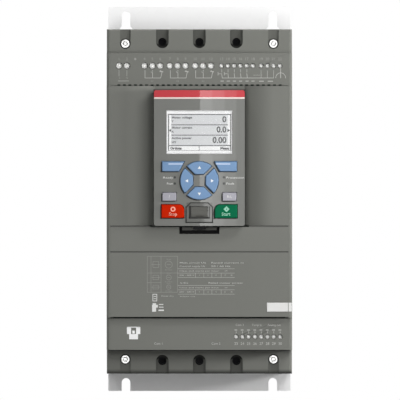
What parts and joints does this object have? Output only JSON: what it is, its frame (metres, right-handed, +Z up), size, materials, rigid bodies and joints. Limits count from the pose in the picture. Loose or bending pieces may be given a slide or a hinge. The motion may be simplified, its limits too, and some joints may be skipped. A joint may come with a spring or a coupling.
{
  "type": "soft starter",
  "caption": "Wall-mounted motor soft starter: stepped grey housing with grooved terminal shoulders, control terminals and a pull-off keypad with display, ring keys and run keys.",
  "frame": {"origin": "centre of the wall plate's back face", "axes": "+X to the right and +Z up as the front is seen, +Y into the wall; the front looks along -Y"},
  "size_m": [0.15, 0.1996, 0.314],
  "materials": {
    "zinc_sheet": "galvanised, satin",
    "housing_grey": "fine moulded texture",
    "housing_dark": "fine moulded texture",
    "keypad_silver": "satin metallic",
    "screw_steel": "nickel plated",
    "tinned_metal": "tin plated",
    "copper": "bare copper",
    "heat_sink_metal": "extruded",
    "black_plastic": "moulded",
    "board_green": "lacquered glass fibre",
    "tag_white": "smooth",
    "strip_red": "smooth",
    "screen": "white back-lit screen",
    "window": "clear, thin",
    "mat_rubber": "soft",
    "lamp": "clear light guide, unlit",
    "port_grey": "soft",
    "key_blue": "satin",
    "key_pale": "satin",
    "key_red": "satin",
    "key_green": "satin"
  },
  "bodies": {
    "starter": {"mounting_plate": "zinc_sheet", "rear_housing": "housing_dark", "front_housing": "housing_grey", "terminal_panel": "housing_grey", "keypad_cover": "housing_grey", "latch_panel": "housing_grey", "lower_cover": "housing_grey", "extension_panel": "housing_grey", "marker_tag": "tag_white", "housing_screws": "screw_steel", "supply_terminals": "black_plastic", "relay_terminals_1": "black_plastic", "relay_terminals_2": "black_plastic", "relay_terminals_3": "black_plastic", "input_terminals": "black_plastic", "output_terminals": "black_plastic", "extension_terminals": "black_plastic", "relay_terminal_screws": "screw_steel", "signal_terminal_screws": "screw_steel", "line_terminal_1": "tinned_metal", "line_terminal_2": "tinned_metal", "line_terminal_3": "tinned_metal", "load_terminal_1": "tinned_metal", "load_terminal_2": "tinned_metal", "load_terminal_3": "tinned_metal", "clamp_screws": "screw_steel", "line_busbars": "copper", "load_busbars": "copper", "heat_sink": "heat_sink_metal", "thyristor_module_1": "black_plastic", "thyristor_module_2": "black_plastic", "thyristor_module_3": "black_plastic", "bypass_contactor_1": "housing_dark", "bypass_contactor_2": "housing_dark", "bypass_contactor_3": "housing_dark", "current_transformers": "black_plastic", "control_board": "board_green", "fan_frame": "black_plastic"},
    "keypad": {"keypad_bezel": "keypad_silver", "keypad_back": "keypad_silver", "accent_strip": "strip_red", "display_window": "window", "display_module": "screen", "keypad_board": "board_green", "key_mat": "mat_rubber", "status_lamps": "lamp"},
    "fan": {"fan_rotor": "black_plastic"},
    "latch": {"keypad_latch": "black_plastic"},
    "port_flap": {"data_port_flap": "port_grey"},
    "soft_key_left_body": {"soft_key_left": "key_blue"},
    "soft_key_right_body": {"soft_key_right": "key_blue"},
    "arrow_key_up_body": {"arrow_key_up": "key_blue"},
    "arrow_key_down_body": {"arrow_key_down": "key_blue"},
    "arrow_key_left_body": {"arrow_key_left": "key_blue"},
    "arrow_key_right_body": {"arrow_key_right": "key_blue"},
    "info_key_body": {"info_key": "key_pale"},
    "mode_key_body": {"mode_key": "key_pale"},
    "stop_key_body": {"stop_key": "key_red"},
    "start_key_body": {"start_key": "key_green"}
  },
  "joints": [
    {"name": "keypad_pull", "type": "slide", "parent": "starter", "child": "keypad", "axis": [0, -1, 0], "range_m": [0, 0.045]},
    {"name": "fan_spin", "type": "hinge", "parent": "starter", "child": "fan", "pos_m": [0, -0.033, -0.131], "axis": [0, 0, 1], "continuous": true},
    {"name": "latch_slide", "type": "slide", "parent": "keypad", "child": "latch", "axis": [0, 0, 1], "range_m": [0, 0.0015], "stiffness_N_per_m": 300, "springref_m": -0.001},
    {"name": "port_flap_hinge", "type": "hinge", "parent": "keypad", "child": "port_flap", "pos_m": [0, -0.19745, -0.0068], "axis": [-1, 0, 0], "range_deg": [0, 95]},
    {"name": "soft_key_left_press", "type": "slide", "parent": "keypad", "child": "soft_key_left_body", "axis": [0, 1, 0], "range_m": [0, 0.001], "stiffness_N_per_m": 400, "springref_m": -0.0005},
    {"name": "soft_key_right_press", "type": "slide", "parent": "keypad", "child": "soft_key_right_body", "axis": [0, 1, 0], "range_m": [0, 0.001], "stiffness_N_per_m": 400, "springref_m": -0.0005},
    {"name": "arrow_key_up_press", "type": "slide", "parent": "keypad", "child": "arrow_key_up_body", "axis": [0, 1, 0], "range_m": [0, 0.001], "stiffness_N_per_m": 400, "springref_m": -0.0005},
    {"name": "arrow_key_down_press", "type": "slide", "parent": "keypad", "child": "arrow_key_down_body", "axis": [0, 1, 0], "range_m": [0, 0.001], "stiffness_N_per_m": 400, "springref_m": -0.0005},
    {"name": "arrow_key_left_press", "type": "slide", "parent": "keypad", "child": "arrow_key_left_body", "axis": [0, 1, 0], "range_m": [0, 0.001], "stiffness_N_per_m": 400, "springref_m": -0.0005},
    {"name": "arrow_key_right_press", "type": "slide", "parent": "keypad", "child": "arrow_key_right_body", "axis": [0, 1, 0], "range_m": [0, 0.001], "stiffness_N_per_m": 400, "springref_m": -0.0005},
    {"name": "info_key_press", "type": "slide", "parent": "keypad", "child": "info_key_body", "axis": [0, 1, 0], "range_m": [0, 0.001], "stiffness_N_per_m": 400, "springref_m": -0.0005},
    {"name": "mode_key_press", "type": "slide", "parent": "keypad", "child": "mode_key_body", "axis": [0, 1, 0], "range_m": [0, 0.001], "stiffness_N_per_m": 400, "springref_m": -0.0005},
    {"name": "stop_key_press", "type": "slide", "parent": "keypad", "child": "stop_key_body", "axis": [0, 1, 0], "range_m": [0, 0.001], "stiffness_N_per_m": 400, "springref_m": -0.0005},
    {"name": "start_key_press", "type": "slide", "parent": "keypad", "child": "start_key_body", "axis": [0, 1, 0], "range_m": [0, 0.001], "stiffness_N_per_m": 400, "springref_m": -0.0005}
  ]
}
